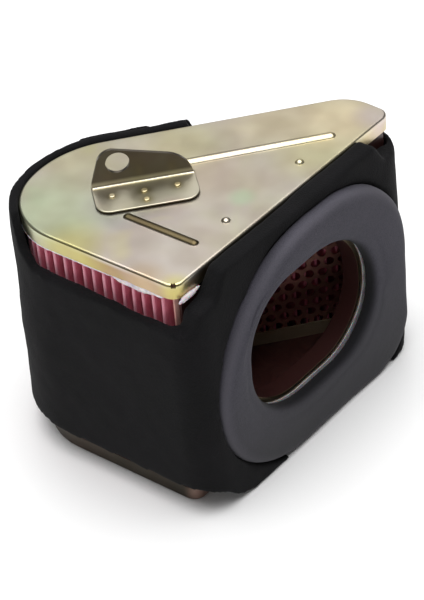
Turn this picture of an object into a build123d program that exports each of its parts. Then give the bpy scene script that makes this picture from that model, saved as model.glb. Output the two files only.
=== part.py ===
from build123d import *
import os
from math import cos, radians, sin

os.makedirs("parts", exist_ok=True)

# ---------------------------------------------------------------- driving dimensions (mm)
HEIGHT = 102.7            # underside of the bottom cap to the flat of the top cap
SHEET = 0.8               # cap and outlet steel
FLANGE = 6.2              # height of the turned edge of each cap
FOLD_R = 1.0              # outside radius of that fold
GAP = 0.05                # air left between touching pieces

# plan of the end caps, wall by wall: the way it faces (degrees), its distance from the
# front-left corner, and the radius of the corner that follows it
SIDE, OUTLET, NOSE, BACK, CROWN = range(5)
FACES = (183.73, 270.0, 360.0, 411.64, 460.0)
DISTANCE = (0.0, 0.0, 123.2, 90.85, 79.7)
CORNER_R = (5.0, 4.5, 17.0, 38.5, 27.0)

# folded paper
PLEATS = 52
PLEAT_DEPTH = 11.0
PAPER_IN = 1.25           # the folds stand this far inside the cap's edge
CREST = 0.6               # width of a fold's crest
PAPER_LOW, PAPER_HIGH = 2.5, HEIGHT - 2.5

# perforated core
CORE_IN = 13.2
CORE_SHEET = 0.6
CORE_END_Y = 2.4          # where the core stops behind the outlet plate
HOLE_R = 1.9
HOLE_PITCH = 5.4
CORE_RIM = 7.0            # plain strip along the top and the bottom

# outlet side, walls in the order left, bottom, right, top with the corner after each
RING_FACES = (180.0, 270.0, 360.0, 450.0)
BORE_WALLS, BORE_R = (-22.9, -22.8, 93.2, 82.2), (31.2, 23.2, 35.2, 23.2)
SEAL_WALLS, SEAL_R = (-5.7, -0.05, 114.6, 98.4), (43.0, 18.0, 45.0, 54.3)
SEAL_OVER_BORE = 0.8      # the seal's opening is this much wider than the steel one
SEAL_BACK, SEAL_FRONT = -6.2, -13.8
PLATE_Y = 1.0             # outside of the flat outlet plate
RIM_Y = -5.8              # outside of the collar's rim
RIM_WIDTH = 6.0
GLUE_FILM = 0.3

# foam: how far it stands outside each wall of the caps, at the bottom and at the top
FOAM_LOW_OUT, FOAM_LOW_R = (6.2, 13.2, 4.6, 5.0, 5.6), (13.0, 24.0, 21.0, 43.0, 32.0)
FOAM_TOP_OUT, FOAM_TOP_R = (4.0, 8.0, 2.2, 3.7, 3.8), (11.0, 17.2, 19.5, 42.0, 31.0)
SLEEVE_LOW = 13.0
SLEEVE_TOP_SIDE = HEIGHT - 15.0
SLEEVE_TOP_BACK = HEIGHT - 6.6
SLEEVE_TOP_NOSE = HEIGHT - 11.5
SLEEVE_TOP_CROWN = HEIGHT + 0.8
PAD_LOW = 0.3
LAP_FROM, LAP_TO, LAP_THICK = -18.2, 24.0, 1.8

# pull tab
TAB_X, TAB_Y, TAB_ANGLE = 25.2, 60.3, -39.8
TAB_SHEET = 1.2
TAB_LENGTH, TAB_DEPTH, TAB_HEIGHT = 37.6, 16.3, 16.5
TAB_BEND_R = 0.8           # inside of the bend
TAB_HOLE_R = 4.35
TAB_HOLE_ALONG, TAB_HOLE_UP = 10.1, 10.65

# the finished assembly is moved to stand centred over the origin
CENTRE_X, CENTRE_Y = 58.96, 38.16


# ---------------------------------------------------------------- plan helpers
def heading(angle):
    return Vector(cos(radians(angle)), sin(radians(angle)))


def corner_centre(face_1, dist_1, face_2, dist_2):
    """Point where two walls meet, given how they face and how far out they stand."""
    a, b = heading(face_1), heading(face_2)
    det = a.X * b.Y - a.Y * b.X
    return Vector((dist_1 * b.Y - dist_2 * a.Y) / det, (dist_2 * a.X - dist_1 * b.X) / det)


def rounded(faces, distances, radii):
    """Closed outline of straight walls and corner arcs; the first edge is the first corner."""
    count, arcs = len(faces), []
    for i in range(count):
        j, r = (i + 1) % count, radii[i]
        centre = corner_centre(faces[i], distances[i] - r, faces[j], distances[j] - r)
        turn_to = faces[j] + (360 if j == 0 else 0)
        arcs.append([centre + r * heading(a) for a in (faces[i], (faces[i] + turn_to) / 2, turn_to)])
    edges = []
    for i in range(count):
        edges.append(ThreePointArc(*arcs[i]))
        edges.append(Line(arcs[i][2], arcs[(i + 1) % count][0]))
    return edges


def plan(grow=0.0):
    return make_face(rounded(FACES, [d + grow for d in DISTANCE], [r + grow for r in CORNER_R]))


def block(face, low, high):
    return extrude(Pos(0, 0, low) * face, high - low)


def open_edges(grow, end_y):
    """Plan outline whose outlet wall is moved to end_y, so the other four walls run on to it."""
    walls = [d + grow for d in DISTANCE]
    walls[OUTLET] = -end_y
    return rounded(FACES, walls, [0.5, 0.5] + [r + grow for r in CORNER_R[2:]])


def open_path(grow, end_y):
    """Nose, back, crown and side as one line that ends at the front-left corner."""
    return Wire(open_edges(grow, end_y)[3:])


def liner(outer, inner, low, high, end_y):
    """Upright sheet that lines the four closed walls and is open towards the outlet."""
    shell = block(make_face(open_edges(outer, end_y)), low, high)
    return shell - block(make_face(open_edges(inner, end_y - 3)), low - 1, high + 1)


def on_back(along, out, z):
    """Frame on the long back wall: X runs towards the nose, Y faces out."""
    face = heading(FACES[BACK])
    run = Vector(face.Y, -face.X)
    at = face * (DISTANCE[BACK] + out) + run * along
    return Plane(origin=(at.X, at.Y, z), x_dir=(run.X, run.Y, 0), z_dir=(0, 0, 1))


def prism(plane, points, depth):
    return extrude(plane * make_face(Polyline(*points, close=True)), depth)


# ---------------------------------------------------------------- end caps
def cap_shell():
    shell = block(plan(), 0, FLANGE)
    shell = fillet(shell.edges().group_by(Axis.Z)[0], FOLD_R)
    return shell - block(plan(-SHEET), SHEET, FLANGE + 1)


def bottom_end_cap():
    return cap_shell()


def bead(x, y, angle, length, width, rise):
    """Pressed bead with a crowned section and round ends."""
    crown = (width ** 2 / 4 + rise ** 2) / (2 * rise)
    run = length - width
    body = Sphere(crown)
    if run > 1:
        ends = Pos(-run / 2, 0, 0) * body + Pos(run / 2, 0, 0) * body
        body = ends + Rot(0, 90, 0) * Cylinder(crown, run)
    body = Pos(0, 0, rise - crown) * body & Pos(0, 0, rise / 2) * Box(length + 2, width + 2, rise)
    return Pos(x, y, 0) * Rot(0, 0, angle) * body


def top_end_cap():
    shell = Pos(0, 0, HEIGHT) * mirror(cap_shell(), Plane.XY)
    beads = (
        (70.3, 32.0, -38.36, 77.0, 4.2),         # behind the tab, along the back
        (21.6, 24.8, 93.73, 32.5, 3.8),          # beside the pleated side
        (38.5, 9.3, 0.0, 3.6, 3.6),
        (79.8, 8.9, 0.0, 3.6, 3.6),
    )
    for x, y, angle, length, width in beads:
        shell += Pos(0, 0, HEIGHT - 0.2) * bead(x, y, angle, length, width, 1.25)
    relief = Pos(1.2, 1.9, HEIGHT) * Cylinder(0.9, 3)
    return shell - relief


# ---------------------------------------------------------------- pull tab
def on_tab(body):
    return Pos(TAB_X, TAB_Y, HEIGHT) * Rot(0, 0, TAB_ANGLE) * body


def pull_tab():
    foot = Pos(TAB_LENGTH / 2 - 0.3, -TAB_DEPTH / 2, TAB_SHEET / 2) * Box(TAB_LENGTH, TAB_DEPTH, TAB_SHEET)
    foot = fillet(foot.edges().filter_by(Axis.Z).group_by(Axis.Y)[0], 5.5)
    rim = foot.edges().group_by(Axis.Z)[-1].filter_by(lambda e: e.center().Y < -1)
    foot = fillet(rim, 0.3)
    profile = make_face([
        Line((0, 0), (0, 2.6)),
        Line((0, 2.6), (2.6, 11.4)),
        ThreePointArc((2.6, 11.4), (4.6, 15.1), (8.4, TAB_HEIGHT)),
        Line((8.4, TAB_HEIGHT), (28.6, 11.0)),
        ThreePointArc((28.6, 11.0), (33.9, 7.5), (36.9, 1.4)),
        Line((36.9, 1.4), (36.9, 0)),
        Line((36.9, 0), (0, 0)),
    ])
    leaf = extrude(Plane.XZ * profile, TAB_SHEET)
    bore = Pos(TAB_HOLE_ALONG, 0, TAB_HOLE_UP) * Rot(90, 0, 0) * Cylinder(TAB_HOLE_R, 10)
    inner, r = TAB_SHEET, TAB_BEND_R
    bend = extrude(Plane.YZ.offset(0.2) * make_face([
        Line((-inner, inner + r), (-inner, inner)),
        Line((-inner, inner), (-inner - r, inner)),
        ThreePointArc((-inner - r, inner), (-inner - 0.293 * r, inner + 0.293 * r), (-inner, inner + r)),
    ]), TAB_LENGTH - 1.0)
    tab = foot + leaf + bend - bore
    heel = tab.edges().filter_by(Axis.X).sort_by_distance((TAB_LENGTH / 2, 0, 0))[0]
    return on_tab(fillet(heel, TAB_SHEET * 0.9))


def tab_spot_welds():
    spots = ((6.3, -7.4), (18.0, -7.4), (18.0, -12.6), (30.0, -7.2))
    nugget = Cylinder(1.2, 0.5, align=(Align.CENTER, Align.CENTER, Align.MIN))
    nugget = fillet(nugget.edges().group_by(Axis.Z)[-1], 0.4)
    return Compound(children=[on_tab(Pos(x, y, TAB_SHEET) * nugget) for x, y in spots])


# ---------------------------------------------------------------- outlet
OUT_PLANE = Plane(origin=(0, 0, 0), x_dir=(1, 0, 0), z_dir=(0, -1, 0))


def ring_block(walls, radii, grow, back, front):
    """Solid with the outline of an outlet ring, between two distances in front of the caps."""
    face = make_face(rounded(RING_FACES, [w + grow for w in walls], [r + grow for r in radii]))
    return extrude(OUT_PLANE.offset(-back) * face, back - front)


def bore_block(grow, back, front):
    return ring_block(BORE_WALLS, BORE_R, grow, back, front)


def outlet_plate():
    back = PLATE_Y + SHEET
    plate = Pos(61.3, PLATE_Y + SHEET / 2, HEIGHT / 2) * Box(116.0, SHEET, HEIGHT - 2 * SHEET - 2 * GAP)
    collar = bore_block(SHEET, back, RIM_Y)
    rim = bore_block(RIM_WIDTH, RIM_Y + SHEET, RIM_Y)
    return plate + collar + rim - bore_block(0, back + 1, RIM_Y - 1)


def seal_glue():
    film = bore_block(RIM_WIDTH - 1.0, RIM_Y - GAP, RIM_Y - GAP - GLUE_FILM)
    return film - bore_block(2.0, RIM_Y + 1, RIM_Y - 1)


def outlet_seal():
    ring = ring_block(SEAL_WALLS, SEAL_R, 0, SEAL_BACK, SEAL_FRONT)
    ring = fillet(ring.edges().group_by(Axis.Y)[0], 2.6)
    ring -= bore_block(SEAL_OVER_BORE, SEAL_BACK + 1, SEAL_FRONT - 1)
    lip = ring.edges().group_by(Axis.Y)[0].filter_by(
        lambda e: 20 < e.center().X < 96 and 20 < e.center().Z < 86)
    return fillet(lip, 2.0)


# ---------------------------------------------------------------- paper, core, sealing compound
def paper_pleats():
    path = open_path(-PAPER_IN, 4.2)
    front, rear = [], []
    for k in range(2 * PLEATS + 1):
        u = 0.003 + 0.994 * k / (2 * PLEATS)
        foot, run = path.position_at(u), path.tangent_at(u)
        inward, half = Vector(-run.Y, run.X), run * (CREST / 2)
        if k % 2 == 0:
            front += [foot - half, foot + half]
            rear += [foot + inward * CREST]
        else:
            front += [foot + inward * (PLEAT_DEPTH - CREST)]
            rear += [foot + inward * PLEAT_DEPTH - half, foot + inward * PLEAT_DEPTH + half]
    return block(make_face(Polyline(*front, *reversed(rear), close=True)), PAPER_LOW, PAPER_HIGH)


def inner_core():
    core = liner(-CORE_IN, -CORE_IN - CORE_SHEET, PAPER_LOW, PAPER_HIGH, CORE_END_Y)
    path = open_path(-CORE_IN, CORE_END_Y)
    row_step = HOLE_PITCH * 0.866
    rows = int((PAPER_HIGH - PAPER_LOW - 2 * CORE_RIM) / row_step)
    columns = int((path.length - 12) / HOLE_PITCH)
    drills = []
    for row in range(rows + 1):
        z = PAPER_LOW + CORE_RIM + row * row_step
        for column in range(columns):
            u = (6 + (column + row % 2 / 2) * HOLE_PITCH) / path.length
            foot, run = path.position_at(u), path.tangent_at(u)
            drills.append(Plane(origin=(foot.X, foot.Y, z), z_dir=(-run.Y, run.X, 0)) * Cylinder(HOLE_R, 3))
    return core - drills


def core_seam_strip():
    seam = on_back(8, -CORE_IN - CORE_SHEET - GAP - 0.3, HEIGHT / 2)
    return seam * Box(9.0, 0.6, PAPER_HIGH - PAPER_LOW - 1)


def core_base_band():
    skin = CORE_IN + CORE_SHEET + GAP
    hoop = liner(-skin, -skin - 0.7, PAPER_LOW, PAPER_LOW + 6.0, CORE_END_Y)
    return hoop - on_back(8, -skin, PAPER_LOW) * Box(9.4, 3.0, 20.0)


def potting(low, high):
    """Cast layer that fills a cap behind the outlet plate."""
    front = PLATE_Y + SHEET + GAP
    return block(plan(-SHEET - GAP), low, high) - Pos(60, front - 50, HEIGHT / 2) * Box(300, 100, 300)


def bottom_potting():
    return potting(SHEET + GAP, PAPER_LOW - GAP)


def top_potting():
    return potting(PAPER_HIGH + GAP, HEIGHT - SHEET - GAP)


def pleat_end_strip(x):
    """Stiff strip that closes one end of the paper behind the outlet plate."""
    return Pos(x, 2.9, HEIGHT / 2) * Box(10.4, 0.7, PAPER_HIGH - PAPER_LOW)


def left_end_strip():
    return pleat_end_strip(6.9)


def right_end_strip():
    return pleat_end_strip(116.2)


def glue_bead(low, high):
    return liner(-SHEET - GAP, -PAPER_IN + GAP, low, high, 4.0)


def top_glue_bead():
    lower = liner(-0.15, -PAPER_IN + GAP, HEIGHT - FLANGE - 1.5, HEIGHT - FLANGE - GAP, 5.0)
    return lower + glue_bead(HEIGHT - FLANGE - 0.1, HEIGHT - FLANGE + 2.0)


def bottom_glue_bead():
    return glue_bead(FLANGE - 2.0, FLANGE + 0.4)


def corner_glue(grow=0.0):
    drop = scale(Sphere(1), by=(4.6 + grow, 1.0 + grow, 1.3 + grow))
    return Pos(6.6, -0.15, HEIGHT - FLANGE - 1.5) * drop


# ---------------------------------------------------------------- foam
def foam_envelope(grow=0.0):
    """Outside of the foam, leaning out a little towards the bottom."""
    ends = []
    for z, out, radii in ((0, FOAM_LOW_OUT, FOAM_LOW_R), (HEIGHT + 2, FOAM_TOP_OUT, FOAM_TOP_R)):
        walls = [d + o + grow for d, o in zip(DISTANCE, out)]
        ends.append(Pos(0, 0, z) * make_face(rounded(FACES, walls, [r + grow for r in radii])))
    return loft(ends, ruled=True)


def foam_hollow():
    return block(plan(0.15), -5, HEIGHT + 10)


def foam_sleeve():
    foam = foam_envelope() - foam_hollow()
    foam -= Pos(60, -49.9, HEIGHT / 2) * Box(400, 100, 400)
    foam -= Pos(0, 0, SLEEVE_LOW - 50) * Box(600, 600, 100)
    foam -= Pos(0, 0, SLEEVE_TOP_CROWN + 50) * Box(600, 600, 100)
    side_cut = [(-5, SLEEVE_TOP_SIDE - 2.5), (62, SLEEVE_TOP_SIDE - 0.5), (68.5, SLEEVE_TOP_SIDE + 5),
                (73.5, HEIGHT), (73.5, HEIGHT + 9), (-5, HEIGHT + 9)]
    foam -= prism(Plane.YZ.offset(-30), side_cut, 42)
    back_cut = [(LAP_TO + 1.5, SLEEVE_TOP_BACK), (48, SLEEVE_TOP_BACK), (66, SLEEVE_TOP_NOSE),
                (150, SLEEVE_TOP_NOSE), (150, HEIGHT + 9), (LAP_TO - 2, HEIGHT + 9), (LAP_TO - 1, HEIGHT)]
    frame = on_back(0, 15, 0)
    upright = Plane(origin=frame.origin, x_dir=frame.x_dir, z_dir=-frame.y_dir)
    return foam - prism(upright, back_cut, 80)


def foam_lap():
    """Overlapping end of the sleeve, glued down on the back."""
    skin = foam_envelope(LAP_THICK) - foam_envelope(GAP + 0.25)
    frame = on_back(0, 20, 0)
    upright = Plane(origin=frame.origin, x_dir=frame.x_dir, z_dir=-frame.y_dir)
    keep = [(LAP_FROM, SLEEVE_LOW + 1), (LAP_TO + 6, SLEEVE_LOW + 1), (LAP_TO + 6, HEIGHT - 16),
            (LAP_TO, HEIGHT - 0.8), (9.6, HEIGHT - 0.7), (8.6, HEIGHT), (LAP_FROM + 1.2, HEIGHT - 0.4),
            (LAP_FROM, HEIGHT - 3)]
    return skin & prism(upright, keep, 40)


def lap_glue():
    skin = foam_envelope(GAP + 0.2) - foam_envelope(GAP)
    frame = on_back(0, 20, 0)
    upright = Plane(origin=frame.origin, x_dir=frame.x_dir, z_dir=-frame.y_dir)
    keep = [(LAP_FROM + 8, SLEEVE_LOW + 6), (LAP_TO - 8, SLEEVE_LOW + 6),
            (LAP_TO - 8, HEIGHT - 22), (LAP_FROM + 8, HEIGHT - 22)]
    return skin & prism(upright, keep, 40)


def foam_front_pad():
    pad = foam_envelope() - foam_hollow()
    pad &= Pos(60, -50, HEIGHT / 2) * Box(400, 100, 400)
    skyline = [
        (-20, HEIGHT - 19), (0.3, HEIGHT - 18), (2.2, HEIGHT - 10.8), (10.5, HEIGHT - 9.4), (16.5, HEIGHT),
        (102.4, HEIGHT), (108.0, HEIGHT - 9.0), (121, SLEEVE_TOP_NOSE), (140, SLEEVE_TOP_NOSE),
        (140, 6), (124, 4), (112, PAD_LOW), (19, PAD_LOW), (10.5, 3.5), (4.6, 9.0), (-3, SLEEVE_LOW),
        (-20, SLEEVE_LOW)]
    pad &= prism(OUT_PLANE.offset(-30), skyline, 80)
    pad -= bore_block(SHEET + 0.4, 5, -30)
    pad -= bore_block(RIM_WIDTH + 0.4, RIM_Y + SHEET + GAP, -30)
    pad -= ring_block(SEAL_WALLS, SEAL_R, 0.3, SEAL_BACK + GAP, -30)
    return pad - corner_glue(0.15)


# ---------------------------------------------------------------- one file for each piece
NODES = {
    "bottom_end_cap": bottom_end_cap,
    "top_end_cap": top_end_cap,
    "pull_tab": pull_tab,
    "tab_spot_welds": tab_spot_welds,
    "outlet_plate": outlet_plate,
    "outlet_seal": outlet_seal,
    "seal_glue": seal_glue,
    "paper_pleats": paper_pleats,
    "left_end_strip": left_end_strip,
    "right_end_strip": right_end_strip,
    "inner_core": inner_core,
    "core_seam_strip": core_seam_strip,
    "core_base_band": core_base_band,
    "top_potting": top_potting,
    "bottom_potting": bottom_potting,
    "top_glue_bead": top_glue_bead,
    "bottom_glue_bead": bottom_glue_bead,
    "corner_glue": corner_glue,
    "foam_sleeve": foam_sleeve,
    "foam_lap": foam_lap,
    "lap_glue": lap_glue,
    "foam_front_pad": foam_front_pad,
}

for name, make in NODES.items():
    export_step(Pos(-CENTRE_X, -CENTRE_Y, 0) * make(), f"parts/{name}.step")
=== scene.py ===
from math import cos, pi, radians, sin

import bmesh
import bpy
from mathutils import Matrix, Vector, noise


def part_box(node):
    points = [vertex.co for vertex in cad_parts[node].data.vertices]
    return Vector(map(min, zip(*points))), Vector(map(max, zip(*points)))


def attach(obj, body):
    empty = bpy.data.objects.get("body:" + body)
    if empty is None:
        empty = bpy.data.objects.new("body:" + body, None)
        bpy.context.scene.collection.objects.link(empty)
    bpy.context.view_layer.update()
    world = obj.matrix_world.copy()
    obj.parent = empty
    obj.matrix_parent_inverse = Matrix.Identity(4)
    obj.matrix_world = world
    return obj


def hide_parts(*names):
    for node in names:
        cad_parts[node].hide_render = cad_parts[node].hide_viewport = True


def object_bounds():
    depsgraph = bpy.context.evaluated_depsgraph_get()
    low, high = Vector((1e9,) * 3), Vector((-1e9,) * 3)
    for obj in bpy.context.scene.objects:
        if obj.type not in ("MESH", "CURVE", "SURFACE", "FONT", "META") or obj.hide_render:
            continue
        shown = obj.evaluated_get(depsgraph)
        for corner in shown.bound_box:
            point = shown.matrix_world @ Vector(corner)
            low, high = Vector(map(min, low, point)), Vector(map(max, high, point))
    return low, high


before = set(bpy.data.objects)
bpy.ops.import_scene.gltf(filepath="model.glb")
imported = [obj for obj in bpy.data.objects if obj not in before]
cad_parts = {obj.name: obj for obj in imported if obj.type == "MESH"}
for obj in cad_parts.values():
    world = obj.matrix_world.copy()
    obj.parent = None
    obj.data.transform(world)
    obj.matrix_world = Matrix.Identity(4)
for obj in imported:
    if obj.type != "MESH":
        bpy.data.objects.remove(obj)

CAD_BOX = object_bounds()
MM = 0.001

# ---------------------------------------------------------------- dimensions shared with the CAD (mm)
TOP = 102.7               # flat of the top cap over the underside of the bottom one
FLANGE = 6.2
# plan of the end caps, wall by wall: the way it faces (degrees), its distance from the
# front-left corner, and the radius of the corner that follows it
FACES = (183.73, 270.0, 360.0, 411.64, 460.0)
DISTANCE = (0.0, 0.0, 123.2, 90.85, 79.7)
CORNER_R = (5.0, 4.5, 17.0, 38.5, 27.0)
OUTLET, NOSE = 1, 2       # places of two walls in those rows
PLEATS, PAPER_IN = 52, 1.25
PAPER_LOW, PAPER_HIGH = 2.5, TOP - 2.5
PAPER_END_Y = 4.2
# outlet side, walls in the order left, bottom, right, top with the corner after each
RING_FACES = (180.0, 270.0, 360.0, 450.0)
BORE_WALLS, BORE_R = (-22.9, -22.8, 93.2, 82.2), (31.2, 23.2, 35.2, 23.2)
SEAL_WALLS, SEAL_R = (-5.7, -0.05, 114.6, 98.4), (43.0, 18.0, 45.0, 54.3)
SEAL_OVER_BORE = 0.8
SEAL_BACK, SEAL_FRONT = -6.2, -13.8
RIM_Y = -5.8

# ---------------------------------------------------------------- dimensions of the visible pieces (mm)
PAPER_SHEET = 0.32
PLEAT_DEPTH = 10.9        # 0.1 less than in the CAD, to stay inside it
PAPER_MARGIN = 0.8        # plain paper before the first fold and after the last
CREST_R, VALLEY_R = 0.55, 0.42
FOAM_VOXEL, LAP_VOXEL = 1.0, 0.6
FOAM_UNEVEN = 0.6

X, Y, Z = range(3)        # places of the axes in a vector

cap_low, cap_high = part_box("top_end_cap")
ORIGIN = Vector((cap_high.x - DISTANCE[NOSE] * MM, cap_low.y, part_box("bottom_end_cap")[0].z))


def at(x, y, z):
    """A point given in mm from the front-left corner of the caps."""
    return ORIGIN + Vector((x, y, z)) * MM


# ---------------------------------------------------------------- outlines
def heading(angle):
    """Direction in plan, in degrees from +X."""
    return Vector((cos(radians(angle)), sin(radians(angle))))


def meet(face_1, dist_1, face_2, dist_2):
    """Where two walls cross, each given by the way it faces and its distance."""
    a, b = heading(face_1), heading(face_2)
    det = a.x * b.y - a.y * b.x
    return Vector((dist_1 * b.y - dist_2 * a.y, dist_2 * a.x - dist_1 * b.x)) / det


def corners(faces, walls, radii, steps):
    """One list of points for each rounded corner of a closed outline."""
    made = []
    for i, r in enumerate(radii):
        j = (i + 1) % len(faces)
        sweep = faces[j] + (360 if j == 0 else 0) - faces[i]
        centre = meet(faces[i], walls[i] - r, faces[j], walls[j] - r)
        made.append([centre + r * heading(faces[i] + sweep * k / steps) for k in range(steps + 1)])
    return made


def ring_outline(walls, radii, grow, corner_steps, run_steps):
    """Closed outline with a fixed number of points on each corner and each straight run."""
    arcs = corners(RING_FACES, [w + grow for w in walls], [r + grow for r in radii], corner_steps)
    points = []
    for i, arc in enumerate(arcs):
        points += arc
        after = arcs[(i + 1) % len(arcs)][0]
        points += [arc[-1].lerp(after, k / run_steps) for k in range(1, run_steps)]
    return points


class Path:
    """A line in plan that can be read off by distance."""

    def __init__(self, points):
        self.points, self.marks = points, [0.0]
        for a, b in zip(points, points[1:]):
            self.marks.append(self.marks[-1] + (b - a).length)
        self.length = self.marks[-1]

    def find(self, distance):
        """Position and outward direction."""
        distance = min(max(distance, 0.0), self.length)
        i = next((k for k, m in enumerate(self.marks[1:]) if m >= distance), len(self.marks) - 2)
        a, b = self.points[i], self.points[i + 1]
        run = (b - a).normalized()
        return a + run * (distance - self.marks[i]), Vector((run.y, -run.x))


def closed_walls(grow, end_y, steps=24):
    """Nose, back, crown and side of the caps as one path."""
    walls = [d + grow for d in DISTANCE]
    walls[OUTLET] = -end_y
    arcs = corners(FACES, walls, [0.5, 0.5] + [r + grow for r in CORNER_R[NOSE:]], steps)
    return Path([arcs[1][-1]] + arcs[2] + arcs[3] + arcs[4] + [arcs[0][0]])


# ---------------------------------------------------------------- mesh helpers
def shade_smooth(mesh):
    for face in mesh.polygons:
        face.use_smooth = True


def add_object(name, mesh, slot_name, stands_for=()):
    """Puts a mesh in the scene; with a slot name it is a piece of the object."""
    obj = bpy.data.objects.new(name, mesh)
    bpy.context.scene.collection.objects.link(obj)
    shade_smooth(mesh)
    if slot_name:
        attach(obj, "root")
    if stands_for:
        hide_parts(*stands_for)
    return obj


def skin(name, sections, closed):
    """Mesh over a row of loops; the row is closed into a ring, or its two ends are filled."""
    bm = bmesh.new()
    rows = [[bm.verts.new(p) for p in loop] for loop in sections]
    pairs = list(zip(rows, rows[1:] + rows[:1]))
    for a, b in pairs if closed else pairs[:-1]:
        for k in range(len(a)):
            m = (k + 1) % len(a)
            bm.faces.new((a[k], a[m], b[m], b[k]))
    if not closed:
        bm.faces.new(list(reversed(rows[0])))
        bm.faces.new(rows[-1])
    bmesh.ops.recalc_face_normals(bm, faces=bm.faces)
    mesh = bpy.data.meshes.new(name)
    bm.to_mesh(mesh)
    bm.free()
    return mesh


def bake_modifiers(obj):
    """Makes an object's modifiers part of its mesh."""
    made = bpy.data.meshes.new_from_object(obj.evaluated_get(bpy.context.evaluated_depsgraph_get()))
    obj.modifiers.clear()
    obj.data = made


def softened(sources, voxel, passes):
    """One even-meshed copy of some CAD solids, with the cut edges rounded off."""
    bm = bmesh.new()
    for source in sources:
        bm.from_mesh(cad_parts[source].data)
    mesh = bpy.data.meshes.new("work")
    bm.to_mesh(mesh)
    bm.free()
    obj = bpy.data.objects.new("work", mesh)
    bpy.context.scene.collection.objects.link(obj)
    remesh = obj.modifiers.new("even", "REMESH")
    remesh.mode = "VOXEL"
    remesh.voxel_size = voxel * MM
    ease = obj.modifiers.new("ease", "SMOOTH")
    ease.factor = 0.5
    ease.iterations = passes
    bake_modifiers(obj)
    made = obj.data
    bpy.data.objects.remove(obj)
    return made


def wobble(mesh, amount, size, seed):
    """Moves the surface in and out by slow noise, both given in mm."""
    shift = Vector((seed * 7.3, seed * 3.1, seed * 5.7))
    normals = [v.normal.copy() for v in mesh.vertices]
    for v, n in zip(mesh.vertices, normals):
        v.co += n * (noise.noise(v.co / (size * MM) + shift) * amount * MM)
    mesh.update()


# ---------------------------------------------------------------- material helpers
def srgb(r, g, b):
    """Linear colour of an sRGB one given from 0 to 255."""
    return tuple((c / 12.92 if c <= 0.04045 else ((c + 0.055) / 1.055) ** 2.4)
                 for c in (r / 255, g / 255, b / 255)) + (1.0,)


class Finish:
    """A principled material with short ways to add texture nodes."""

    def __init__(self, name, **sockets):
        self.material = bpy.data.materials.new(name)
        self.material.use_nodes = True
        self.tree = self.material.node_tree
        self.shader = self.tree.nodes["Principled BSDF"]
        self.place = self.tree.nodes.new("ShaderNodeTexCoord").outputs["Object"]
        for key, value in sockets.items():
            self.shader.inputs[key.replace("_", " ")].default_value = value

    def feed(self, socket, value):
        if isinstance(value, bpy.types.NodeSocket):
            self.tree.links.new(value, socket)
        else:
            socket.default_value = value

    def node(self, kind, sockets, **settings):
        made = self.tree.nodes.new(kind)
        for key, value in settings.items():
            setattr(made, key, value)
        for key, value in sockets.items():
            self.feed(made.inputs[key], value)
        return made

    def noise(self, size, detail=3.0, roughness=0.55, stretch=(1, 1, 1), offset=(0, 0, 0), distortion=0.0):
        """Noise whose features are about size mm across."""
        spread = self.node("ShaderNodeMapping", {
            "Vector": self.place, "Location": offset, "Scale": [s / (size * MM) for s in stretch]})
        return self.node("ShaderNodeTexNoise", {
            "Vector": spread.outputs[0], "Scale": 1.0, "Detail": detail, "Roughness": roughness,
            "Distortion": distortion}).outputs["Fac"]

    def cells(self, size):
        """Distance to the middle of the nearest cell, with cells about size mm across."""
        spread = self.node("ShaderNodeMapping", {"Vector": self.place, "Scale": [1 / (size * MM)] * 3})
        made = self.node("ShaderNodeTexVoronoi", {"Vector": spread.outputs[0], "Scale": 1.0})
        return made.outputs["Distance"]

    def mask(self, name):
        """A value that the mesh holds at each of its points."""
        return self.node("ShaderNodeAttribute", {}, attribute_name=name).outputs["Fac"]

    def ramp(self, value, *stops):
        """stops are (position, colour) pairs."""
        made = self.node("ShaderNodeValToRGB", {0: value})
        steps = made.color_ramp.elements
        while len(steps) < len(stops):
            steps.new(0.5)
        for step, (position, colour) in zip(steps, stops):
            step.position, step.color = position, colour
        return made.outputs["Color"]

    def span(self, value, from_low, from_high, to_low, to_high, smooth=False):
        """Maps one range of values to another and holds the ends."""
        made = self.node("ShaderNodeMapRange", {0: value, 1: from_low, 2: from_high, 3: to_low, 4: to_high})
        if smooth:
            made.interpolation_type = "SMOOTHSTEP"
        return made.outputs[0]

    def along(self, axis, start, end, at_start, at_end, smooth=False):
        """One value before start and another past end, places along an axis in mm from the corner."""
        value = self.node("ShaderNodeSeparateXYZ", {0: self.place}).outputs[axis]
        low, high = (at(mm, mm, mm)[axis] for mm in (start, end))
        return self.span(value, low, high, at_start, at_end, smooth)

    def mix(self, share, a, b, blend="MIX"):
        made = self.node("ShaderNodeMix", {0: share, 6: a, 7: b}, data_type="RGBA", blend_type=blend)
        return made.outputs[2]

    def maths(self, operation, a, b=0.0):
        return self.node("ShaderNodeMath", {0: a, 1: b}, operation=operation).outputs[0]

    def near(self, point, radius, full=0.2):
        """1 close to a point, falling to 0 at radius mm."""
        gap = self.node("ShaderNodeVectorMath", {0: self.place, 1: point}, operation="DISTANCE")
        return self.span(gap.outputs["Value"], radius * full * MM, radius * MM, 1.0, 0.0, smooth=True)

    def bump(self, *layers):
        """layers are (height, strength, depth in mm), the finest first."""
        normal = None
        for height, strength, depth in layers:
            sockets = {"Height": height, "Strength": strength, "Distance": depth * MM}
            if normal is not None:
                sockets["Normal"] = normal
            normal = self.node("ShaderNodeBump", sockets).outputs["Normal"]
        self.feed(self.shader.inputs["Normal"], normal)

    def colour(self, value):
        self.feed(self.shader.inputs["Base Color"], value)

    def painted(self):
        """The colour set so far, for painting over it."""
        return self.shader.inputs["Base Color"].links[0].from_socket

    def rough(self, value):
        self.feed(self.shader.inputs["Roughness"], value)


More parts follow.
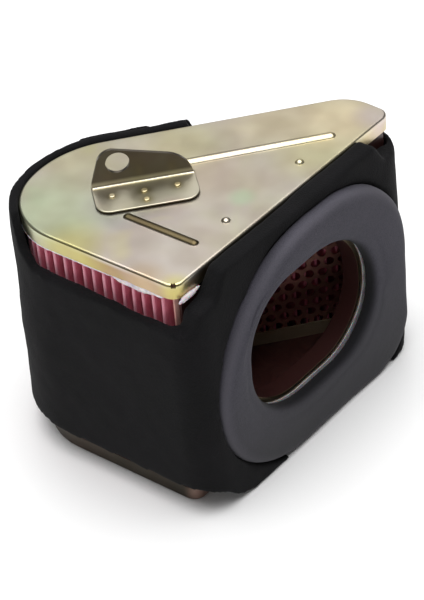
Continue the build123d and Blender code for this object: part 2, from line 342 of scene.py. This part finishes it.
def tinted_zinc(name, tones, patches, roughness, clear=0.1, metallic=1.0, folded=()):
    """Yellow-passivated zinc on pressed steel: a thin passivated layer whose tint drifts over the sheet.

    tones are (position, sRGB colour) stops, and folded holds those below the fold of the top cap; some of
    the tones and patches given to it carry painted light and painted shade, as said where they are given.
    patches are local tints: x, y and z of the middle, radius, sRGB colour, strength.
    Roughness is kept above 0.28: below that, renders showed dark specks.
    """
    def stops(pairs):
        return [(position, srgb(*colour)) for position, colour in pairs]

    f = Finish(name, Metallic=metallic, Coat_Weight=clear, Coat_Roughness=0.12)
    drift = f.noise(34, 2.0, 0.5, distortion=0.8)
    tint = f.ramp(drift, *stops(tones))
    if folded:
        below = f.along(Z, TOP - 2.6, TOP - 1.0, 1.0, 0.0, smooth=True)
        tint = f.mix(below, tint, f.ramp(f.noise(19, 2.0, 0.5, offset=(1, 6, 2)), *stops(folded)))
    for x, y, z, radius, colour, share in patches:
        cloud = f.maths("MULTIPLY", f.near(at(x, y, z), radius), share)
        tint = f.mix(cloud, tint, srgb(*colour))
    mottle = f.ramp(f.noise(11, 1.0, 0.5, offset=(3, 1, 7)),
                    (0.35, srgb(244, 241, 238)), (0.65, (1, 1, 1, 1)))
    f.colour(f.mix(1.0, tint, mottle, "MULTIPLY"))
    f.rough(f.span(f.noise(9, 2.0, 0.5, offset=(5, 5, 5)), 0.3, 0.7, roughness, roughness + 0.06))
    f.bump((f.noise(5, 2.0, 0.4, offset=(9, 4, 2)), 0.15, 0.05), (f.noise(16, 2.0, 0.4), 0.2, 0.2))
    return f


def foam_finish(name, dark, light, pore, depth, gloss, bloom):
    """Open-cell foam: fine pores, a little dust and a soft bloom at grazing light."""
    f = Finish(name, Specular_IOR_Level=gloss, Sheen_Weight=bloom, Sheen_Roughness=0.6)
    pores = f.cells(pore)
    clouds = f.noise(22, 4.0, 0.6)
    body = f.ramp(clouds, (0.35, srgb(*dark)), (0.68, srgb(*light)))
    # painted shade: the pore centres are darkened
    body = f.mix(f.span(pores, 0.05, 0.5, 0.75, 0.0), body, srgb(*[c * 0.45 for c in dark]))
    dust = f.noise(0.9, 2.0, 0.5, offset=(2, 8, 4))
    body = f.mix(f.span(dust, 0.72, 0.8, 0.0, 0.35), body, srgb(*[c * 1.8 for c in light]))
    f.colour(body)
    f.rough(f.span(clouds, 0.3, 0.7, 0.82, 0.96))
    f.bump((pores, 0.55, depth), (f.noise(3.2, 3.0, 0.6), 0.3, 0.35))
    return f


def assign(obj, finish):
    obj.data.materials.clear()
    obj.data.materials.append(finish.material)


# ---------------------------------------------------------------- finishes
zinc = tinted_zinc("zinc_plated_cap", (
    (0.28, (197, 202, 172)), (0.42, (200, 195, 174)), (0.54, (199, 191, 177)),
    (0.66, (199, 189, 181)), (0.80, (208, 202, 160))), (
    (6, 62, TOP, 30, (190, 203, 170), 0.7),
    (22, 46, TOP, 17, (192, 194, 198), 0.4),
    (62, 50, TOP, 26, (210, 204, 158), 0.55),
    (38, 76, TOP, 22, (206, 203, 160), 0.55),
    (58, 26, TOP, 22, (203, 186, 172), 0.55),
    (52, 13, TOP, 7, (184, 205, 174), 0.6),
    (88, 8, TOP, 22, (208, 202, 152), 0.6),
    (102, 26, TOP, 22, (204, 190, 168), 0.45),
    (8, 12, TOP, 20, (200, 192, 186), 0.45),
    # painted light: the next two, the lightest patches, brighten the right end of the cap
    (110, 12, TOP, 26, (238, 224, 188), 0.9),
    (92, 34, TOP, 24, (220, 208, 176), 0.7),
    (2, 2, TOP - 3, 8, (206, 196, 118), 0.75),
    (-1, 13, TOP - 5, 12, (192, 166, 132), 0.75),
    (-3, 45, TOP - 5, 18, (190, 180, 112), 0.75),
    (118, 3, TOP - 1, 12, (206, 192, 196), 0.6),
    (121, 4, TOP - 6, 7, (210, 202, 130), 0.8)), 0.29, folded=(
    # below the fold: golden tones, darker than the top, partly the zinc's own tint and partly painted shade
    # on the flange
    (0.34, (170, 150, 92)), (0.55, (172, 144, 120)), (0.72, (170, 158, 108))))
# painted shade: the base cap's tones are darkened as if it reflected a dark floor; the patch at its front
# corner is lighter
shaded_base_zinc = tinted_zinc("zinc_plated_base", (
    (0.3, (62, 57, 48)), (0.5, (70, 64, 54)), (0.7, (80, 70, 62))),
    ((4, -1, 3, 9, (168, 138, 126), 0.85),), 0.4)
tab_zinc = tinted_zinc("zinc_plated_tab", (
    (0.35, (204, 200, 176)), (0.5, (208, 202, 182)), (0.68, (203, 190, 174))), (
    (25.3, 50.6, TOP + 1.2, 4, (150, 140, 104), 0.6),
    (34.3, 43.1, TOP + 1.2, 4.4, (150, 140, 100), 0.7),
    (31.0, 39.1, TOP + 1.2, 4.2, (150, 140, 100), 0.65),
    (43.6, 35.6, TOP + 1.2, 4, (154, 144, 106), 0.6)), 0.285)
weld = tinted_zinc("weld_spots", ((0.4, (226, 212, 166)), (0.6, (244, 238, 216))), (), 0.34)
bare_steel = tinted_zinc("outlet_steel", (
    (0.35, (132, 120, 98)), (0.5, (142, 128, 104)), (0.68, (148, 132, 110))), (), 0.3)
band_steel = tinted_zinc("core_band_steel", (
    (0.35, (176, 162, 134)), (0.5, (186, 170, 142)), (0.68, (188, 168, 144))), (), 0.5, 0.05, 0.35)
core_zinc = tinted_zinc("core_mesh_steel", (
    (0.35, (158, 108, 96)), (0.5, (172, 118, 104)), (0.68, (176, 112, 106))), (), 0.5, 0.05, 0.35)

# painted shade: the tab's upright leaf is darkened as if it reflected a dark room, and the tab below its top
# edge is painted dark as the shadow and dark reflection at the foot's sheet edge
risen = tab_zinc.along(Z, TOP + 2.2, TOP + 4.0, 0.0, 1.0, smooth=True)
tint_with_painted_shade = tab_zinc.mix(risen, tab_zinc.painted(), srgb(150, 147, 148), "MULTIPLY")
painted_edge_shadow = tab_zinc.along(Z, TOP + 0.72, TOP + 0.92, 1.0, 0.0)
tab_zinc.colour(tab_zinc.mix(painted_edge_shadow, tint_with_painted_shade, srgb(62, 54, 44)))

# painted shade: the short bead is darkened where it would reflect the dark room, and a dark line is painted
# in the fold on the pleated side as the fold's dark reflection
raised = zinc.along(Z, TOP + 0.05, TOP + 0.4, 0.0, 1.0)
painted_bead_shade = zinc.maths("MULTIPLY", raised, zinc.near(at(21.6, 24.8, TOP), 24, 0.8))
tint_with_painted_shade = zinc.mix(painted_bead_shade, zinc.painted(), srgb(120, 112, 86), "MULTIPLY")
fold = zinc.maths("MULTIPLY", zinc.along(Z, TOP - 0.95, TOP - 0.8, 0.0, 1.0),
                  zinc.along(Z, TOP - 0.5, TOP - 0.35, 1.0, 0.0))
fold = zinc.maths("MULTIPLY", fold, zinc.along(X, 2.5, 5.0, 0.85, 0.0))
zinc.colour(zinc.mix(fold, tint_with_painted_shade, srgb(88, 78, 46)))

# behind its bright rim the collar of the outlet plate is painted a dull dark red and made less metallic:
# painted shade inside the outlet
painted_collar_shade = bare_steel.along(Y, RIM_Y + 0.1, RIM_Y + 0.5, 0.0, 1.0)
bare_steel.colour(bare_steel.mix(painted_collar_shade, bare_steel.painted(), srgb(62, 36, 34)))
bare_steel.feed(bare_steel.shader.inputs["Metallic"], bare_steel.span(painted_collar_shade, 0, 1, 1.0, 0.2))

sleeve_foam = foam_finish("black_filter_foam", (17, 17, 18), (23, 22, 24), 0.55, 0.25, 0.06, 0.03)
seal_foam = foam_finish("grey_seal_foam", (64, 63, 71), (70, 68, 77), 0.4, 0.1, 0.12, 0.06)
# darker and greyer toward the bottom
seal_darkened = seal_foam.mix(seal_foam.along(Z, 8, 60, 0.7, 0.0), seal_foam.painted(), srgb(50, 50, 50))
# painted shade: the wall of the opening is darkened
seal_darkened = seal_foam.mix(seal_foam.mask("painted_shade_wall"), seal_darkened, srgb(30, 30, 33))
# painted highlight: the outer rim is lightened
painted_rim_highlight = seal_foam.maths("MULTIPLY", seal_foam.mask("outer_rim"), 0.4)
seal_foam.colour(seal_foam.mix(painted_rim_highlight, seal_darkened, srgb(90, 88, 95)))

paper = Finish("red_pleated_paper", Specular_IOR_Level=0.35, Sheen_Weight=0.25, Sheen_Roughness=0.4)
fibre = paper.noise(1.1, 5.0, 0.7, stretch=(1, 1, 0.25))
red = paper.ramp(fibre, (0.3, srgb(220, 104, 130)), (0.7, srgb(240, 140, 160)))
# the crests are lightened: a painted highlight along them, partly chafe
crest_highlight_and_chafe = paper.maths("MULTIPLY", paper.mask("crest"), paper.span(paper.noise(2.5), 0.3, 0.7, 0.5, 0.95))
paper.colour(paper.mix(crest_highlight_and_chafe, red, srgb(244, 190, 202)))
paper.rough(paper.span(fibre, 0.3, 0.7, 0.55, 0.75))
paper.bump((paper.cells(0.35), 0.2, 0.05), (fibre, 0.4, 0.1))

strip = Finish("pleat_end_card", Specular_IOR_Level=0.3)
grain = strip.noise(1.6, 4.0, 0.7, stretch=(1, 1, 0.2))
strip.colour(strip.ramp(grain, (0.3, srgb(196, 136, 132)), (0.7, srgb(214, 166, 152))))
strip.rough(strip.span(grain, 0.3, 0.7, 0.6, 0.8))
strip.bump((grain, 0.3, 0.08))

glue = Finish("hot_glue", Subsurface_Weight=0.35, Subsurface_Scale=0.0012, IOR=1.48)
haze = glue.noise(3.5, 3.0, 0.6)
glue.colour(glue.ramp(haze, (0.3, srgb(190, 178, 190)), (0.65, srgb(232, 226, 226))))
glue.rough(glue.span(haze, 0.3, 0.7, 0.22, 0.42))
glue.bump((glue.noise(0.8, 2.0), 0.2, 0.08))

resin = Finish("red_brown_potting", Subsurface_Weight=0.1, Subsurface_Scale=0.001)
swirl = resin.noise(9, 5.0, 0.65, distortion=1.6)
resin.colour(resin.ramp(swirl, (0.3, srgb(66, 36, 34)), (0.55, srgb(86, 50, 46)), (0.75, srgb(104, 70, 62))))
resin.rough(resin.span(swirl, 0.3, 0.7, 0.35, 0.6))
resin.bump((resin.noise(1.6, 3.0), 0.4, 0.2), (swirl, 0.5, 0.6))

for node_name, finish in {
        "top_end_cap": zinc, "bottom_end_cap": shaded_base_zinc, "pull_tab": tab_zinc, "tab_spot_welds": weld,
        "outlet_plate": bare_steel, "inner_core": core_zinc, "core_seam_strip": core_zinc,
        "core_base_band": band_steel, "top_potting": resin, "bottom_potting": resin,
        "left_end_strip": strip, "right_end_strip": strip, "seal_glue": glue, "lap_glue": glue,
        "bottom_glue_bead": glue}.items():
    assign(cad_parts[node_name], finish)


# ---------------------------------------------------------------- pleated paper
def pleat_profile():
    """Distance along the wall and depth behind it for each point of the folded sheet."""
    path = closed_walls(-PAPER_IN, PAPER_END_Y)
    pitch = (path.length - 2 * PAPER_MARGIN) / PLEATS
    crest, valley, arc = CREST_R, VALLEY_R, 6
    points = []
    for i in range(PLEATS):
        middle = PAPER_MARGIN + (i + 0.5) * pitch + 0.3 * noise.noise(Vector((i * 0.9, 1.7, 0)))
        top = 0.12 * noise.noise(Vector((i * 1.3, 8.2, 0))) + 0.1
        for k in range(arc + 1):
            turn = pi * k / arc
            points.append((middle - crest * cos(turn), top + crest * (1 - sin(turn)), i))
        for k in (1, 2, 3):
            points.append((middle + crest + (pitch / 2 - crest - valley) * k / 4,
                           crest + (PLEAT_DEPTH - crest - valley) * k / 4, i))
        for k in range(arc + 1):
            turn = pi * k / arc
            points.append((middle + pitch / 2 - valley * cos(turn),
                           PLEAT_DEPTH - valley * (1 - sin(turn)), i))
        for k in (3, 2, 1):
            points.append((middle + pitch - crest - (pitch / 2 - crest - valley) * k / 4,
                           crest + (PLEAT_DEPTH - crest - valley) * k / 4, i))
    return path, points


def build_paper():
    """The folded sheet, whose crests lean a little from level to level."""
    path, profile = pleat_profile()
    levels = 12
    bm = bmesh.new()
    crest = bm.verts.layers.float.new("crest")
    rows = []
    for level in range(levels + 1):
        z = PAPER_LOW + 0.1 + (PAPER_HIGH - PAPER_LOW - 0.2) * level / levels
        row = []
        for s, depth, i in profile:
            lean = 0.45 * noise.noise(Vector((i * 0.7, z * 0.03, 3.3))) * (1 - depth / PLEAT_DEPTH)
            foot, out = path.find(s + lean)
            point = foot - out * (depth + 0.2)
            vert = bm.verts.new(at(point.x, point.y, z))
            vert[crest] = max(0.0, 1 - depth / 0.6)
            row.append(vert)
        rows.append(row)
    for a, b in zip(rows, rows[1:]):
        for k in range(len(a) - 1):
            bm.faces.new((a[k], a[k + 1], b[k + 1], b[k]))
    mesh = bpy.data.meshes.new("folded_paper")
    bm.to_mesh(mesh)
    bm.free()
    sheet = add_object("folded_paper", mesh, "pleat_paper", ["paper_pleats"])
    thick = sheet.modifiers.new("thickness", "SOLIDIFY")
    thick.thickness = PAPER_SHEET * MM
    thick.offset = 0.0
    bake_modifiers(sheet)
    shade_smooth(sheet.data)
    assign(sheet, paper)


build_paper()


# ---------------------------------------------------------------- foam
def build_foam(name, sources, voxel, passes, amount):
    """Foam made from its CAD solids, with slow and quick unevenness of its surface."""
    mesh = softened(sources, voxel, passes)
    wobble(mesh, amount, 26, 1)
    wobble(mesh, amount * 0.35, 7, 2)
    piece = add_object(name, mesh, "foam", sources)
    assign(piece, sleeve_foam)


build_foam("wrapped_foam", ["foam_sleeve", "foam_front_pad"], FOAM_VOXEL, 6, FOAM_UNEVEN)
build_foam("glued_foam_end", ["foam_lap"], LAP_VOXEL, 5, FOAM_UNEVEN)


# ---------------------------------------------------------------- outlet seal
def build_seal():
    """The moulded ring, swept round the outlet.

    A point of its profile is: distance in from the outer edge, Y, and a mark. Above 0 the mark
    says how far the surface is the wall of the opening, which gets painted shade, and below 0 the outer rim,
    which gets a painted highlight.
    """
    outer = ring_outline(SEAL_WALLS, SEAL_R, 0, 22, 8)
    inner = ring_outline(BORE_WALLS, BORE_R, SEAL_OVER_BORE, 22, 8)
    sections = []
    for o, i in zip(outer, inner):
        across = (i - o).normalized()
        width = (i - o).length
        profile = [
            (0.0, SEAL_BACK, 0), (0.0, -8.2, 0), (0.0, -10.2, -0.4), (0.35, -11.5, -1), (1.2, -12.6, -1),
            (2.5, -13.35, -0.5), (4.2, SEAL_FRONT, 0), (width * 0.42, -13.95, 0), (width * 0.55, -13.9, 0),
            (width - 7.6, SEAL_FRONT, 0), (width - 6.4, -13.65, 0), (width - 5.4, -13.4, 0),
            (width - 4.0, -13.35, 0), (width - 2.6, -13.25, 0), (width - 1.5, -12.9, 0.1),
            (width - 0.7, -12.2, 0.6), (width - 0.15, -11.1, 1), (width, -9.4, 1), (width, SEAL_BACK, 1)]
        loop = []
        for inset, y, _ in profile:
            p = o + across * inset
            ripple = 0.22 * noise.noise(Vector((p.x * 0.06, p.y * 0.06, 4.2)))
            loop.append(at(p.x, y + (ripple if y < -9.5 else 0), p.y))
        sections.append(loop)
    mesh = skin("moulded_seal", sections, True)
    marks = [p[2] for p in profile] * len(sections)
    for key, sign in (("painted_shade_wall", 1), ("outer_rim", -1)):
        layer = mesh.attributes.new(key, "FLOAT", "POINT")
        layer.data.foreach_set("value", [max(0.0, sign * mark) for mark in marks])
    seal = add_object("moulded_seal", mesh, "seal_foam", ["outlet_seal"])
    finer = seal.modifiers.new("finer", "SUBSURF")
    finer.levels = finer.render_levels = 1
    bake_modifiers(seal)
    wobble(seal.data, 0.12, 9, 5)
    assign(seal, seal_foam)


build_seal()


# ---------------------------------------------------------------- glue
def glue_loop(centre, out, half_out, half_up, seed, sides=12):
    """One cross-section of a bead, uneven in thickness."""
    loop = []
    for k in range(sides):
        turn = 2 * pi * k / sides
        swell = 1 + 0.28 * noise.noise(Vector((seed * 0.35, cos(turn) * 0.7, sin(turn) * 0.7)))
        p = centre + out * (half_out * swell * cos(turn)) + Vector((0, 0, half_up * swell * sin(turn)))
        loop.append(at(*p))
    return loop


def ramp_up(value, length):
    """0 below 0, rising to 1 at length."""
    return min(1.0, max(0.0, value / length))


def build_top_glue():
    """The bead under the cap's edge: thin all round, squeezed out near the front-left corner."""
    path = closed_walls(-0.5, 5.0)
    sections, steps = [], 560
    for k in range(steps + 1):
        s = path.length * k / steps
        foot, out = path.find(s)
        to_corner = path.length - s
        swell = 0.42 + 0.5 * max(0.0, noise.noise(Vector((s * 0.09, 2.2, 0))))
        swell += 0.12 * noise.noise(Vector((s * 0.6, 6.1, 0)))
        squeezed = ramp_up(22 - to_corner, 3) * ramp_up(to_corner - 6, 2.5)
        drip = ramp_up(7 - to_corner, 1.5) * (0.5 + 0.5 * noise.noise(Vector((s * 0.9, 1.0, 9))))
        swell += squeezed * (0.62 + 0.3 * noise.noise(Vector((s * 0.45, 0, 9)))) + 0.35 * drip
        swell = max(0.3, swell) * min(1.0, 0.25 + min(to_corner, s) / 1.5)
        centre = Vector((foot.x, foot.y, TOP - FLANGE - 0.75 * swell))
        outward = Vector((out.x, out.y, 0))
        sections.append(glue_loop(centre, outward, 0.35 + 0.45 * swell, 1.2 * swell, s))
    bead = add_object("top_glue", skin("top_glue", sections, False), "glue", ["top_glue_bead"])
    assign(bead, glue)


def build_corner_glue():
    """The flattened drop of glue on the outlet side of the corner, thickest near it."""
    sections, steps = [], 60
    for k in range(steps + 1):
        u = k / steps
        girth = (sin(pi * min(1.0, u * 1.02)) ** 0.5) * (1.0 - 0.4 * u) + 0.05
        x = 0.4 + 11.2 * u
        centre = Vector((x, -0.7, TOP - FLANGE - 0.5 + 0.5 * u))
        sections.append(glue_loop(centre, Vector((0, -1, 0)), 1.1 * girth, 1.35 * girth, x * 2.5))
    mesh = skin("corner_glue_smear", sections, False)
    assign(add_object("corner_glue_smear", mesh, "glue", ["corner_glue"]), glue)


build_top_glue()
build_corner_glue()


# ---------------------------------------------------------------- floor, light, camera
# metres and degrees, with a bearing counted from straight in front of the outlet
FLOOR_HALF = 3.0
WORLD_STRENGTH = 0.13
BEARING, TILT, ROLL = -47.105, 40.0, 5.24
AIM_POINT = (2.59, -14.03, TOP)      # mm from the front-left corner
CAMERA_AWAY = 0.73333
LENS, SENSOR = 132.0, 36.0           # mm


def build_floor():
    bm = bmesh.new()
    bmesh.ops.create_grid(bm, x_segments=8, y_segments=8, size=FLOOR_HALF)
    mesh = bpy.data.meshes.new("floor")
    bm.to_mesh(mesh)
    bm.free()
    floor = add_object("floor", mesh, None)
    floor.location.z = CAD_BOX[0].z
    paint = Finish("pale_floor", Specular_IOR_Level=0.2)
    paint.colour(paint.ramp(paint.noise(300, 2.0), (0.3, srgb(246, 246, 246)), (0.7, srgb(249, 249, 249))))
    paint.rough(0.8)
    assign(floor, paint)


build_floor()

world = bpy.data.worlds.new("studio")
bpy.context.scene.world = world
world.use_nodes = True
world.node_tree.nodes["Background"].inputs["Color"].default_value = (1.0, 0.99, 0.98, 1.0)
world.node_tree.nodes["Background"].inputs["Strength"].default_value = WORLD_STRENGTH


def away(bearing, elevation):
    """Direction from the object to something seen at a bearing and an elevation."""
    a, e = radians(bearing), radians(elevation)
    return Vector((sin(a) * cos(e), -cos(a) * cos(e), sin(e)))


def facing(direction):
    """Rotation that makes a lamp or camera look along a direction."""
    return direction.to_track_quat("-Z", "Y").to_matrix().to_4x4()


def softbox(name, bearing, elevation, distance, size, radiance):
    """Square area light turned to the middle of the object."""
    lamp = bpy.data.lights.new(name, "AREA")
    lamp.shape, lamp.size = "SQUARE", size
    lamp.energy = radiance * pi * size * size
    obj = bpy.data.objects.new(name, lamp)
    bpy.context.scene.collection.objects.link(obj)
    centre = (CAD_BOX[0] + CAD_BOX[1]) / 2
    back = away(bearing, elevation)
    obj.matrix_world = Matrix.Translation(centre + back * distance) @ facing(-back)


softbox("overhead", 0, 90, 1.7, 2.1, 3.8)
softbox("rear", 133, 40, 1.4, 1.1, 0.46)
softbox("left", -95, 17, 1.4, 0.55, 2.0)

camera_data = bpy.data.cameras.new("camera")
camera_data.lens, camera_data.sensor_width = LENS, SENSOR
camera_data.clip_start, camera_data.clip_end = 0.05, 20.0
camera = bpy.data.objects.new("camera", camera_data)
bpy.context.scene.collection.objects.link(camera)
back = away(BEARING, TILT)
turned = facing(-back) @ Matrix.Rotation(radians(-ROLL), 4, "Z")
camera.matrix_world = Matrix.Translation(at(*AIM_POINT) + back * CAMERA_AWAY) @ turned
bpy.context.scene.camera = camera
bpy.context.scene.view_settings.view_transform = "Standard"
